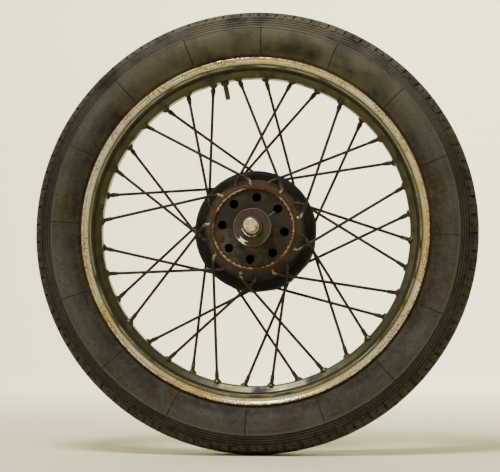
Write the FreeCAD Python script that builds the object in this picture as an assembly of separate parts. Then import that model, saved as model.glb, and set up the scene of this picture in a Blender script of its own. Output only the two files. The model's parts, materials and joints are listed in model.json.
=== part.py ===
"""Wire-spoked motorcycle wheel with a half-width hub and a drum brake.

The frame: the spindle lies along Y, the dished spoke flange is on the -Y side and the
brake on the +Y side, +Z is up.  The origin is the wheel's centre.  Angles run from +X
towards +Z.  Millimetres throughout.
"""
import FreeCAD, Part
import math
import os

os.makedirs("parts", exist_ok=True)

Vector = FreeCAD.Vector
ORIGIN = Vector(0, 0, 0)
SPIN_AXIS = Vector(0, -1, 0)     # turning about it carries +X towards +Z

# Tyre, tube and rim
tyre_radius = 327.5              # 3.25-19 tyre
tyre_half_width = 44.0
bead_seat_radius = 241.3         # 19 inch WM2 rim
rim_flange_radius = 255.5
rim_half_width = 28.5
rim_wall = 1.6
well_radius = 228.5              # face of the rim's well that looks at the hub
well_half_width = 9.0
tape_radius = 235.4

# Spokes and nipples
spokes_per_set = 9
set_step = 360.0 / spokes_per_set
spoke_radius = 2.15
spoke_head_radius = 3.6
spoke_head_length = 2.0
nipple_radius = 3.1
nipple_head_radius = 4.1
nipple_head_start = 2.75         # the head's underside, outwards from the middle of the rim's wall
nipple_head_end = 4.4
nipple_reach = 13.0              # how far a nipple stands in from the rim
nipple_offset = 5.0              # nipples sit this far to their own side of the rim's middle
near_nipple_phase = -4.0
far_nipple_phase = 6.0

# Near spoke flange, a dished shell whose cone carries two rows of spoke holes
lip_radius = 62.5
lip_front = -40.0
lip_tooth_radius = 57.0
lip_tooth_depth = 1.7
lip_tooth_count = 44
web_front = -37.0
web_thickness = 3.5
cone_back_radius = 76.0
cone_back = -2.0
outer_row_y = -29.0
inner_row_y = -20.0
face_hole_radius = 6.5
face_hole_pitch_radius = 45.5
face_hole_count = 8
face_hole_phase = -6.5

# Hub barrel and bearings (20 x 47 x 14 ball bearings)
barrel_radius = 27.5
barrel_near_radius = 26.0
barrel_near_end = -54.5
barrel_far_end = 20.5
spindle_radius = 10.0
bearing_bore = 10.02
bearing_radius = 23.5
bearing_width = 14.0
ball_radius = 3.97
ball_pitch_radius = 16.75
ball_count = 8
race_gap = 0.05
near_bearing_y = -45.0
far_bearing_y = 9.0
cap_front = -57.0
cap_radius = 27.6
collar_radius = 15.0
collar_front = -65.0
spindle_half_length = 97.0

# Brake drum and its spoke flange
drum_bore = 75.0
drum_wall_radius = 81.0
drum_front = -1.5
drum_web = 6.5
drum_end = 36.0
shoulder_radius = 90.5
shoulder_back = 14.0
far_flange_radius = 91.0
far_flange_flat = 89.4
far_flange_front = 30.0
far_flange_thickness = 4.0
far_hole_radius = 85.5
far_front_phase = 26.5
far_rear_phase = 6.5

# Brake plate, cam and shoes
plate_radius = 80.5
plate_front = 36.6
plate_thickness = 4.0
plate_boss_end = 47.0
pivot_radius = 54.0              # both the fulcrum and the cam lie this far from the spindle
post_radius = 7.0
cam_width = 16.0
cam_thickness = 10.0
cam_shaft_radius = 6.0
cam_clearance = 0.15
shoe_web_inner = 44.0
shoe_table_inner = 66.0
shoe_table_outer = 69.5
lining_radius = 74.0
shoe_front = 8.5
shoe_back = 33.0
lever_length = 55.0
lever_front = 47.2
lever_thickness = 4.5

# Valve
valve_angle = 101.5
valve_radius = 3.85
valve_tip = 202.0                # distance of the stem's mouth from the wheel's centre
valve_bore = 2.0


def polar(radius, angle, y):
    """Point at a radius and angle about the spindle."""
    turn = math.radians(angle)
    return Vector(radius * math.cos(turn), y, radius * math.sin(turn))


def rounded_edges(corners, closed):
    """Lines through corners, given as (point, bend radius), joined by tangent arcs."""
    count = len(corners)
    entries = []
    exits = []
    middles = []
    for index, (point, bend) in enumerate(corners):
        is_end = not closed and index in (0, count - 1)
        if is_end or bend == 0:
            entries.append(point)
            exits.append(point)
            middles.append(None)
            continue
        into = (point - corners[index - 1][0]).normalize()
        out = (corners[(index + 1) % count][0] - point).normalize()
        half_turn = into.getAngle(out) / 2
        reach = bend * math.tan(half_turn)
        inward = (out - into).normalize()
        entries.append(point - into * reach)
        exits.append(point + out * reach)
        middles.append(point + inward * (bend / math.cos(half_turn) - bend))
    edges = []
    for index in range(count):
        if middles[index] is not None:
            arc = Part.Arc(entries[index], middles[index], exits[index])
            edges.append(arc.toShape())
        if closed or index < count - 1:
            start = exits[index]
            end = entries[(index + 1) % count]
            if start.distanceToPoint(end) > 1e-6:
                edges.append(Part.LineSegment(start, end).toShape())
    return edges


def turned(outline):
    """Ring turned about the spindle axis from (radius, y) or (radius, y, fillet) corners."""
    corners = []
    for corner in outline:
        fillet = corner[2] if len(corner) == 3 else 0
        corners.append((Vector(corner[0], corner[1], 0), fillet))
    face = Part.Face(Part.Wire(rounded_edges(corners, closed=True)))
    return face.revolve(ORIGIN, Vector(0, 1, 0), 360)


def tube(inner, outer, start, end):
    """Plain ring about the spindle axis between two y positions."""
    return turned([(inner, start), (outer, start), (outer, end), (inner, end)])


def rod(radius, start, end):
    """Round bar from one point to another."""
    along = end - start
    return Part.makeCylinder(radius, along.Length, start, along)


def hex_nut(across_flats, bore, start, end, centre_x=0.0):
    """Hexagon nut on an axis parallel to the spindle."""
    corner_radius = across_flats / math.sqrt(3)
    centre = Vector(centre_x, 0, 0)
    points = [centre + polar(corner_radius, 60 * side, start) for side in range(6)]
    face = Part.Face(Part.makePolygon(points + points[:1]))
    body = face.extrude(Vector(0, end - start, 0))
    hole_start = centre + Vector(0, start - 1, 0)
    hole_end = centre + Vector(0, end + 1, 0)
    return body.cut(rod(bore, hole_start, hole_end))


def spun(shape, count, phase=0.0):
    """Copies of a shape, evenly spaced about the spindle."""
    copies = []
    for index in range(count):
        copy = shape.copy()
        copy.rotate(ORIGIN, SPIN_AXIS, phase + 360.0 / count * index)
        copies.append(copy)
    return copies


def save(name, shape):
    """Write one node."""
    if isinstance(shape, list):
        shape = Part.makeCompound(shape)
    shape.exportStep(f"parts/{name}.step")


# --- Spoke sets: where each set hooks into the hub, how it bends, and its nipple -------------

def spoke_set(hook, bend_point, bend_radius, nipple_angle, side):
    """One set's first spoke: path corners, and the straight run's end at the rim."""
    rim_point = polar(well_radius + rim_wall / 2, nipple_angle, side * nipple_offset)
    straight = (rim_point - bend_point).normalize()
    return {
        "hook": hook,
        "bend_point": bend_point,
        "bend_radius": bend_radius,
        "rim_point": rim_point,
        "straight": straight,
    }


cone_slope = (cone_back_radius - lip_radius) / (cone_back - lip_front - 2)
outer_hole_radius = lip_radius + cone_slope * (outer_row_y - lip_front - 2)
inner_hole_radius = lip_radius + cone_slope * (inner_row_y - lip_front - 2)
hook_depth = 6.9                 # from the cone's face in to the seat of a spoke's head
elbow_beyond_outer = 5.8
elbow_beyond_inner = 4.3
far_flange_back = far_flange_front + far_flange_thickness
elbow_beyond_flange = 4.2

near_outer_angle = 13.7
near_inner_angle = 32.0
spoke_sets = {
    "spokes_near_outer": spoke_set(
        polar(outer_hole_radius - hook_depth, near_outer_angle, outer_row_y),
        polar(outer_hole_radius + elbow_beyond_outer, near_outer_angle, outer_row_y),
        9.5, near_nipple_phase + 60, -1),
    "spokes_near_inner": spoke_set(
        polar(inner_hole_radius - hook_depth, near_inner_angle, inner_row_y),
        polar(inner_hole_radius + elbow_beyond_inner, near_inner_angle, inner_row_y),
        8.0, near_nipple_phase, -1),
    "spokes_far_front": spoke_set(
        polar(far_hole_radius, far_front_phase, far_flange_back),
        polar(far_hole_radius, far_front_phase, far_flange_front - elbow_beyond_flange),
        3.8, far_nipple_phase - 20, 1),
    "spokes_far_rear": spoke_set(
        polar(far_hole_radius, far_rear_phase, far_flange_front),
        polar(far_hole_radius, far_rear_phase, far_flange_back + elbow_beyond_flange),
        3.8, far_nipple_phase + 40, 1),
}

spoke_end_gap = 2.0              # the spoke stops this far short of the rim's wall
for set_name, laced in spoke_sets.items():
    end_point = laced["rim_point"] - laced["straight"] * spoke_end_gap
    corners = [(laced["hook"], 0), (laced["bend_point"], laced["bend_radius"]), (end_point, 0)]
    path = Part.Wire(rounded_edges(corners, closed=False))
    lead = (laced["bend_point"] - laced["hook"]).normalize()
    section = Part.Wire([Part.makeCircle(spoke_radius, laced["hook"], lead)])
    shank = path.makePipeShell([section], True, True)
    head = rod(spoke_head_radius, laced["hook"] - lead * spoke_head_length, laced["hook"])
    spoke = shank.fuse(head).removeSplitter()
    save(set_name, spun(spoke, spokes_per_set))


def nipple(laced):
    """Flanged sleeve that holds a spoke at the rim, tapered towards the hub."""
    straight = laced["straight"]
    rim_point = laced["rim_point"]
    tip = rim_point - straight * nipple_reach
    shoulder = tip + straight * 3.0
    taper = Part.makeCone(nipple_radius - 0.5, nipple_radius, 3.0, tip, straight)
    head_start = rim_point + straight * nipple_head_start
    body = rod(nipple_radius, shoulder, head_start)
    head = rod(nipple_head_radius, head_start, rim_point + straight * nipple_head_end)
    whole = taper.fuse([body, head])
    bore = rod(spoke_radius + 0.04, tip - straight, rim_point - straight * 1.0)
    return whole.cut(bore)


near_sets = [spoke_sets["spokes_near_outer"], spoke_sets["spokes_near_inner"]]
far_sets = [spoke_sets["spokes_far_front"], spoke_sets["spokes_far_rear"]]
save("nipples_near", [copy for laced in near_sets for copy in spun(nipple(laced), spokes_per_set)])
save("nipples_far", [copy for laced in far_sets for copy in spun(nipple(laced), spokes_per_set)])


# --- Rim: rolled steel with a drop centre, drilled for the nipples -----------------------------

def mirrored(half):
    """Whole outline from one side's corners."""
    return half + [(corner[0], -corner[1]) + tuple(corner[2:]) for corner in reversed(half)]


seat_half_width = 23.0
rim = turned(mirrored([
    (well_radius, well_half_width, 4.0),
    (bead_seat_radius - rim_wall - 0.6, well_half_width + 5.0, 4.0),
    (bead_seat_radius - rim_wall, rim_half_width - 4.0, 3.0),
    (rim_flange_radius - 4.0, rim_half_width - 3.2, 2.0),
    (rim_flange_radius - 3.2, rim_half_width, 1.2),
    (rim_flange_radius, rim_half_width, 1.6),
    (rim_flange_radius, seat_half_width, 1.6),
    (bead_seat_radius, seat_half_width, 2.0),
    (bead_seat_radius - 0.6, well_half_width + 4.0, 3.0),
    (well_radius + rim_wall, well_half_width - 1.0, 2.5),
]))
drillings = []
for laced in near_sets + far_sets:
    straight = laced["straight"]
    seat = laced["rim_point"]
    hole = rod(nipple_radius + 0.05, seat - straight * 6, seat + straight * 6)
    drillings += spun(hole, spokes_per_set)
valve_hole_radius = valve_radius + 0.2
valve_hole = rod(valve_hole_radius, polar(220, valve_angle, 0), polar(245, valve_angle, 0))
save("rim", rim.cut(drillings + [valve_hole]))

tape = tube(tape_radius, tape_radius + 1.0, -well_half_width - 0.5, well_half_width + 0.5)
save("rim_tape", tape.cut(valve_hole))


# --- Tyre and inner tube ----------------------------------------------------------------------

bead_heel = seat_half_width - 0.3
bead_seat = bead_seat_radius + 0.2
crown_thickness = 14.0
save("tyre", turned(mirrored([
    (bead_seat, 11.5, 1.5),
    (bead_seat, bead_heel, 1.5),
    (rim_flange_radius + 1.3, bead_heel, 2.0),
    (262.0, 30.0, 4.0),
    (272.0, 38.5, 10.0),
    (287.0, tyre_half_width, 14.0),
    (301.0, 41.5, 10.0),
    (313.0, 38.8, 3.0),
    (320.0, 30.0, 6.0),
    (tyre_radius, 13.0, 20.0),
]) + mirrored([
    (254.0, -18.0, 6.0),
    (268.0, -31.0, 14.0),
    (287.0, -36.5, 14.0),
    (304.0, -29.0, 14.0),
    (tyre_radius - crown_thickness, -11.0, 14.0),
])))
tube_wall = 2.2
tube_low = tape_radius + 1.2
tube_outline = mirrored([
    (tube_low, 8.5, 3.0),
    (252.0, 14.5, 6.0),
    (270.0, 29.0, 10.0),
    (288.0, 34.0, 10.0),
    (302.0, 27.0, 12.0),
    (312.3, 9.0, 12.0),
])
tube_hollow = mirrored([
    (tube_low + tube_wall, 7.5, 1.5),
    (253.0, 12.2, 5.0),
    (271.0, 26.6, 9.0),
    (288.0, 31.6, 9.0),
    (300.6, 25.4, 10.0),
    (312.3 - tube_wall, 8.2, 10.0),
])
inner_tube = turned(tube_outline).cut(turned(tube_hollow))
stem_passage = rod(valve_radius, polar(220, valve_angle, 0), polar(245, valve_angle, 0))
save("inner_tube", inner_tube.cut(stem_passage))


# --- Valve: stem bonded to the tube, ring nut against the rim, core and its sprung pin --------

stem_inner_end = tube_low + tube_wall + 1.0
mouth = polar(valve_tip, valve_angle, 0)
stem_root = polar(stem_inner_end, valve_angle, 0)
outward = polar(1, valve_angle, 0)
stem = rod(valve_radius, mouth, stem_root)
stem_foot = rod(6.5, polar(tube_low + tube_wall + 0.05, valve_angle, 0), stem_root)
stem_core_seat = rod(valve_bore, mouth - outward, mouth + outward * 14)
stem_air_way = rod(1.3, mouth, stem_root + outward)
save("valve_stem", stem.fuse(stem_foot).cut([stem_core_seat, stem_air_way]))

nut_start = polar(well_radius - 4.4, valve_angle, 0)
nut_blank = hex_nut(11.0, valve_radius + 0.03, 0, 4.0)
nut_blank.rotate(ORIGIN, Vector(1, 0, 0), 90)
nut_blank.rotate(ORIGIN, Vector(0, -1, 0), valve_angle - 90)
nut_blank.translate(nut_start)
save("valve_nut", nut_blank)

core_top = mouth + outward * 1.2
core = rod(valve_bore - 0.02, core_top, core_top + outward * 6.0)
core_way = rod(0.85, mouth, core_top + outward * 7.0)
save("valve_core", core.cut(core_way))
valve_pin = rod(0.8, mouth + outward * 0.1, core_top + outward * 8.0)
pin_washer = rod(1.1, core_top + outward * 6.3, core_top + outward * 7.3)
save("valve_pin", valve_pin.fuse(pin_washer))


# --- Hub barrel and near spoke flange ---------------------------------------------------------

near_seat_end = near_bearing_y + bearing_width / 2
far_seat_start = far_bearing_y - bearing_width / 2
race_shoulder = 20.0
save("hub_barrel", turned([
    (bearing_radius, barrel_near_end),
    (barrel_near_radius, barrel_near_end),
    (barrel_near_radius, web_front + web_thickness),
    (30.0, web_front + web_thickness),
    (30.0, web_front + web_thickness + 4, 2.0),
    (27.0, web_front + web_thickness + 7, 2.0),
    (27.0, drum_front - 5, 2.0),
    (34.0, drum_front - 5),
    (34.0, drum_front),
    (barrel_radius, drum_front),
    (barrel_radius, barrel_far_end),
    (bearing_radius, barrel_far_end),
    (bearing_radius, far_seat_start),
    (race_shoulder, far_seat_start),
    (race_shoulder, near_seat_end),
    (bearing_radius, near_seat_end),
]))

near_flange = turned([
    (barrel_near_radius + 0.05, web_front),
    (lip_tooth_radius - 0.5, web_front, 1.2),
    (lip_tooth_radius, lip_front, 0.6),
    (lip_radius, lip_front, 1.8),
    (lip_radius + 0.1, lip_front + 3),
    (cone_back_radius, cone_back),
    (58.0, cone_back),
    (58.0, cone_back - 3),
    (70.0, cone_back - 3, 2.5),
    (58.5, web_front + web_thickness, 2.0),
    (barrel_near_radius + 0.05, web_front + web_thickness),
])
tooth_gap_half = math.pi * lip_tooth_radius / lip_tooth_count
gap_inner = lip_tooth_radius - 1.2
gap_points = [
    Vector(gap_inner, lip_front - 1, -tooth_gap_half),
    Vector(lip_tooth_radius + lip_tooth_depth, lip_front - 1, 0),
    Vector(gap_inner, lip_front - 1, tooth_gap_half),
]
gap_face = Part.Face(Part.makePolygon(gap_points + gap_points[:1]))
tooth_gap = gap_face.extrude(Vector(0, 4.2, 0))
face_hole = rod(face_hole_radius, Vector(face_hole_pitch_radius, -45, 0),
                Vector(face_hole_pitch_radius, -25, 0))
hole_clearance = 0.15
flange_cuts = spun(tooth_gap, lip_tooth_count)
flange_cuts += spun(face_hole, face_hole_count, face_hole_phase)
for laced in near_sets:
    inside = laced["hook"] - (laced["bend_point"] - laced["hook"]).normalize() * 6
    flange_cuts += spun(rod(spoke_radius + hole_clearance, inside, laced["bend_point"]),
                        spokes_per_set)
rivet_radius = 2.5
rivet_head_radius = 4.0
rivet_pitch_radius = 63.0
rivet_hole = rod(rivet_radius + 0.05, Vector(rivet_pitch_radius, -8, 0),
                 Vector(rivet_pitch_radius, 8, 0))
flange_cuts += spun(rivet_hole, spokes_per_set)
save("near_flange", near_flange.cut(flange_cuts))

rivet = rod(rivet_radius, Vector(rivet_pitch_radius, -5.5, 0), Vector(rivet_pitch_radius, 5.5, 0))
rivet_head = rod(rivet_head_radius, Vector(rivet_pitch_radius, -7.0, 0), Vector(rivet_pitch_radius, -5.0, 0))
rivet_tail = rod(rivet_head_radius, Vector(rivet_pitch_radius, 5.0, 0), Vector(rivet_pitch_radius, 6.6, 0))
save("flange_rivets", spun(rivet.fuse([rivet_head, rivet_tail]), spokes_per_set))


# --- Brake drum: cast iron cup with a shoulder and a spoke flange -----------------------------

web_back = drum_front + drum_web
drum = turned([
    (barrel_radius + 0.05, drum_front),
    (shoulder_radius - 5.0, drum_front, 4.0),
    (shoulder_radius, drum_front + 7.0, 3.0),
    (shoulder_radius, shoulder_back, 1.0),
    (drum_wall_radius, shoulder_back + 2.0, 2.0),
    (drum_wall_radius, far_flange_front, 1.5),
    (far_flange_radius, far_flange_front, 0.8),
    (far_flange_radius, far_flange_back, 0.8),
    (drum_wall_radius, far_flange_back, 1.0),
    (drum_wall_radius, drum_end),
    (drum_bore, drum_end),
    (drum_bore, web_back, 3.0),
    (barrel_radius + 0.05, web_back),
])
flat_cut = Part.makeBox(10, far_flange_thickness + 2, 80,
                        Vector(far_flange_flat, far_flange_front - 1, -40))
flat_phase = (far_front_phase + far_rear_phase) / 2 + set_step / 2
drum_cuts = spun(flat_cut, spokes_per_set, flat_phase)
for laced in far_sets:
    lead = (laced["bend_point"] - laced["hook"]).normalize()
    spoke_hole = rod(spoke_radius + hole_clearance, laced["hook"] - lead, laced["bend_point"])
    drum_cuts += spun(spoke_hole, spokes_per_set)
drum_cuts += spun(rivet_hole, spokes_per_set)
tail_sink = rod(rivet_head_radius + 0.1, Vector(rivet_pitch_radius, 4.9, 0), Vector(rivet_pitch_radius, 7, 0))
drum_cuts += spun(tail_sink, spokes_per_set)
save("brake_drum", drum.cut(drum_cuts))


# --- Bearings, seals and the pieces along the spindle -----------------------------------------

race_inner_top = 14.1
race_outer_bottom = 19.4
groove_radius = ball_radius + race_gap
for side_name, centre_y in (("near", near_bearing_y), ("far", far_bearing_y)):
    start = centre_y - bearing_width / 2
    end = centre_y + bearing_width / 2
    groove = Part.makeTorus(ball_pitch_radius, groove_radius, Vector(0, centre_y, 0), Vector(0, 1, 0))
    balls = Part.makeSphere(ball_radius, Vector(ball_pitch_radius, centre_y, 0))
    pocket = rod(ball_radius + race_gap, Vector(ball_pitch_radius - 4, centre_y, 0),
                 Vector(ball_pitch_radius + 4, centre_y, 0))
    cage = tube(ball_pitch_radius - 1.0, ball_pitch_radius + 1.0, centre_y - 5.2, centre_y + 5.2)
    save(f"{side_name}_inner_race", tube(bearing_bore, race_inner_top, start, end).cut(groove))
    save(f"{side_name}_outer_race", tube(race_outer_bottom, bearing_radius, start, end).cut(groove))
    save(f"{side_name}_balls", spun(balls, ball_count))
    save(f"{side_name}_ball_cage", cage.cut(spun(pocket, ball_count)))

near_race_front = near_bearing_y - bearing_width / 2
far_race_back = far_bearing_y + bearing_width / 2
seal_bore = collar_radius + 0.2
save("near_bearing_cap", turned([
    (collar_radius + 0.4, cap_front + 1.0),
    (cap_radius - 2.4, cap_front + 1.0, 1.0),
    (cap_radius - 1.6, cap_front, 0.4),
    (cap_radius, cap_front, 0.8),
    (cap_radius, -46.0),
    (barrel_near_radius + 0.05, -46.0),
    (barrel_near_radius + 0.05, barrel_near_end - 0.1),
    (collar_radius + 0.4, barrel_near_end - 0.1),
]))
save("near_felt_ring", tube(seal_bore, bearing_radius - 0.2, barrel_near_end, near_race_front - 0.1))
save("far_felt_ring", tube(seal_bore, bearing_radius - 0.2, far_race_back + 0.1, far_race_back + 2.2))
save("far_bearing_retainer", turned([
    (collar_radius + 0.4, far_race_back + 2.3),
    (bearing_radius - 0.05, far_race_back + 2.3),
    (bearing_radius - 0.05, barrel_far_end),
    (barrel_radius, barrel_far_end),
    (barrel_radius, barrel_far_end + 2.0, 0.8),
    (collar_radius + 0.4, barrel_far_end + 2.0),
]))

end_chamfer = 1.5
end_radius = 9.5                 # the ends that the frame holds are turned down to 19 mm
near_end_start = -65.5
far_end_start = 62.5
save("spindle", turned([
    (0, -spindle_half_length),
    (end_radius - end_chamfer, -spindle_half_length, 1.0),
    (end_radius, -spindle_half_length + end_chamfer),
    (end_radius, near_end_start),
    (spindle_radius, near_end_start),
    (spindle_radius, far_end_start),
    (end_radius, far_end_start),
    (end_radius, spindle_half_length - end_chamfer),
    (end_radius - end_chamfer, spindle_half_length),
    (0, spindle_half_length),
]))
sleeve_bore = spindle_radius + 0.05
save("near_collar", turned([
    (sleeve_bore, collar_front),
    (collar_radius, collar_front, 1.2),
    (collar_radius, near_race_front - 1.5),
    (13.6, near_race_front - 1.5),
    (13.6, near_race_front),
    (sleeve_bore, near_race_front),
]))
save("bearing_spacer", tube(sleeve_bore, 13.5, near_seat_end, far_seat_start))
far_spacer_end = plate_front - 0.6
save("far_spacer", turned([
    (sleeve_bore, far_race_back),
    (13.6, far_race_back),
    (13.6, far_race_back + 1.5),
    (collar_radius, far_race_back + 1.5),
    (collar_radius, far_spacer_end),
    (sleeve_bore, far_spacer_end),
]))


# --- Brake plate with its fulcrum post, cam bush and anchor stud ------------------------------

plate_back = plate_front + plate_thickness
plate = turned([
    (sleeve_bore, far_spacer_end),
    (20.0, far_spacer_end),
    (20.0, plate_front),
    (71.0, plate_front),
    (71.0, plate_front - 3.0, 0.6),
    (drum_bore - 1.0, plate_front - 3.0, 0.6),
    (drum_bore - 1.0, plate_front, 0.0),
    (plate_radius, plate_front, 0.6),
    (plate_radius, plate_back, 1.0),
    (30.0, plate_back, 3.0),
    (25.0, plate_boss_end, 2.0),
    (sleeve_bore, plate_boss_end),
])
post_centre = Vector(-pivot_radius, 0, 0)
cam_centre = Vector(pivot_radius, 0, 0)
anchor_radius = 6.0
anchor_centre = polar(70.0, 235, 0)
bush_radius = 9.0
post_shank_radius = 6.0


def along_y(centre, radius, start, end):
    """Round bar parallel to the spindle."""
    return rod(radius, centre + Vector(0, start, 0), centre + Vector(0, end, 0))


boss_start = plate_front + 1.0
cam_boss = along_y(cam_centre, 14.0, boss_start, plate_boss_end - 0.6)
post_boss = along_y(post_centre, 13.0, boss_start, plate_back + 2.4)
anchor_boss = along_y(anchor_centre, 9.0, boss_start, plate_back + 1.4)
plate = plate.fuse([cam_boss, post_boss, anchor_boss])
plate = plate.cut([
    along_y(cam_centre, bush_radius + 0.02, plate_front - 5, plate_boss_end + 5),
    along_y(post_centre, post_shank_radius + 0.05, plate_front - 5, plate_boss_end + 5),
    along_y(anchor_centre, anchor_radius - 0.98, boss_start, plate_boss_end + 5),
])
save("brake_plate", plate)

cam_bush = along_y(cam_centre, bush_radius, plate_front - 0.2, plate_boss_end - 0.6)
save("cam_bush", cam_bush.cut(along_y(cam_centre, cam_shaft_radius + 0.05, 30, 60)))

fulcrum_post = along_y(post_centre, post_radius, shoe_front, plate_front)
fulcrum_shank = along_y(post_centre, post_shank_radius, plate_front, 54.0)
save("fulcrum_post", fulcrum_post.fuse(fulcrum_shank))
save("fulcrum_nut", hex_nut(19.0, post_shank_radius + 0.03, plate_back + 2.4, 51.0, -pivot_radius))

anchor_shank = along_y(anchor_centre, anchor_radius - 1.0, boss_start + 0.1, plate_back + 1.4)
anchor_body = along_y(anchor_centre, anchor_radius, plate_back + 1.4, 58.0)
save("anchor_stud", anchor_shank.fuse(anchor_body))

save("plate_washer", tube(sleeve_bore, 18.0, plate_boss_end, plate_boss_end + 2.5))
save("axle_nut", hex_nut(30.0, sleeve_bore, plate_boss_end + 2.5, 62.0))


# --- Brake cam, its lever and nut -------------------------------------------------------------

cam_front = 12.0
cam_back = 33.2
cam_block = Part.makeBox(cam_width, cam_back - cam_front, cam_thickness,
                         Vector(pivot_radius - cam_width / 2, cam_front, -cam_thickness / 2))
cam_edges = [edge for edge in cam_block.Edges
             if abs(edge.tangentAt(edge.FirstParameter).y) > 0.99]
cam_block = cam_block.makeFillet(1.5, cam_edges)
cam_end = 59.0
cam_shaft = along_y(cam_centre, cam_shaft_radius, cam_back - 1, cam_end)
cam_flange = along_y(cam_centre, 8.5, cam_back, plate_front - 0.6)
save("brake_cam", cam_block.fuse([cam_shaft, cam_flange]).removeSplitter())

lever_back = lever_front + lever_thickness
lever_eye_radius = 3.1
lever_end = cam_centre + Vector(0, 0, -lever_length)
lever_hub = along_y(cam_centre, 11.0, lever_front, lever_back + 1.5)
lever_tip = along_y(lever_end, 7.5, lever_front, lever_back)
arm_points = [
    cam_centre + Vector(-9.0, lever_front, 0),
    cam_centre + Vector(9.0, lever_front, 0),
    lever_end + Vector(6.5, lever_front, 0),
    lever_end + Vector(-6.5, lever_front, 0),
]
arm = Part.Face(Part.makePolygon(arm_points + arm_points[:1])).extrude(Vector(0, lever_thickness, 0))
lever = lever_hub.fuse([lever_tip, arm]).cut([
    along_y(cam_centre, cam_shaft_radius + 0.02, 40, 60),
    along_y(lever_end, lever_eye_radius, 40, 60),
])
save("cam_lever", lever.removeSplitter())
save("cam_nut", hex_nut(17.0, cam_shaft_radius + 0.02, lever_back + 1.5, 57.5, pivot_radius))


# --- Brake shoes: T-section castings with bonded linings --------------------------------------

def sector(inner, outer, start_angle, end_angle, front, back):
    """Arc-shaped block about the spindle axis."""
    ring = tube(inner, outer, front, back)
    mid_angle = (start_angle + end_angle) / 2
    points = [Vector(0, front - 1, 0)]
    for angle in (start_angle, mid_angle, end_angle):
        points.append(polar(outer * 2, angle, front - 1))
    wedge = Part.Face(Part.makePolygon(points + points[:1])).extrude(Vector(0, back - front + 2, 0))
    return ring.common(wedge)


web_front_y = 17.0
web_back_y = 23.0
upper_web = tube(shoe_web_inner, shoe_table_inner + 0.5, web_front_y, web_back_y)
upper_web = upper_web.common(Part.makeBox(200, 40, 100, Vector(-100, 0, 0.4)))
cam_space = Part.makeBox(60, 40, cam_thickness / 2 + cam_clearance, Vector(30, 0, 0))
post_space = along_y(post_centre, post_radius + 0.05, 0, 40)
upper_web = upper_web.cut([cam_space, post_space])
hook_hole_x = 30.0
hook_hole_z = 45.0
hook_holes = [rod(1.3, Vector(x, 0, hook_hole_z), Vector(x, 40, hook_hole_z))
              for x in (-hook_hole_x, hook_hole_x)]
upper_table = sector(shoe_table_inner, shoe_table_outer, 18, 162, shoe_front, shoe_back)
upper_shoe = upper_web.fuse(upper_table).cut(hook_holes)
upper_lining = sector(shoe_table_outer, lining_radius, 30, 150, shoe_front, shoe_back)
save("upper_shoe", upper_shoe)
save("upper_lining", upper_lining)
for name, shape in (("lower_shoe", upper_shoe), ("lower_lining", upper_lining)):
    save(name, shape.mirror(ORIGIN, Vector(0, 0, 1)))


# --- Return springs between the shoes, hooked into the shoe webs -------------------------------

coil_radius = 4.7
coil_hollow_radius = 3.3
wire_radius = 0.7
coil_turns = 16
coil_pitch = 2.5
coil_half_length = coil_turns * coil_pitch / 2
spring_y = 28.5
hook_y = (web_front_y + web_back_y) / 2
for name, x in (("cam_side_spring", hook_hole_x), ("fulcrum_side_spring", -hook_hole_x)):
    flank = [Vector(x + coil_hollow_radius, spring_y, -coil_half_length)]
    for turn in range(coil_turns):
        low = -coil_half_length + turn * coil_pitch
        flank.append(Vector(x + coil_radius - wire_radius, spring_y, low))
        flank.append(Vector(x + coil_radius, spring_y, low + coil_pitch / 2))
    flank.append(Vector(x + coil_radius - wire_radius, spring_y, coil_half_length))
    flank.append(Vector(x + coil_hollow_radius, spring_y, coil_half_length))
    outline = Part.Face(Part.makePolygon(flank + flank[:1]))
    coil = outline.revolve(Vector(x, spring_y, 0), Vector(0, 0, 1), 360)
    pieces = []
    for end in (-1, 1):
        cap = rod(coil_radius - wire_radius, Vector(x, spring_y, end * (coil_half_length - 1)),
                  Vector(x, spring_y, end * coil_half_length))
        leg = rod(wire_radius, Vector(x, spring_y, end * (coil_half_length - 0.5)),
                  Vector(x, spring_y, end * hook_hole_z))
        hook = rod(wire_radius, Vector(x, spring_y + wire_radius, end * hook_hole_z),
                   Vector(x, hook_y, end * hook_hole_z))
        pieces += [cap, leg, hook]
    save(name, coil.fuse(pieces))
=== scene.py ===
"""The looks of a wire-spoked motorcycle wheel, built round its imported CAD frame.

The spindle lies along Y with the dished flange towards -Y, and +Z is up.  Outlines are lists of
(radius, y) or (radius, y, fillet) points.  Sizes are in millimetres and angles in degrees, but
the studio at the end is in metres.
"""
import json
import math

import bmesh
import bpy
from mathutils import Matrix, Vector

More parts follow.
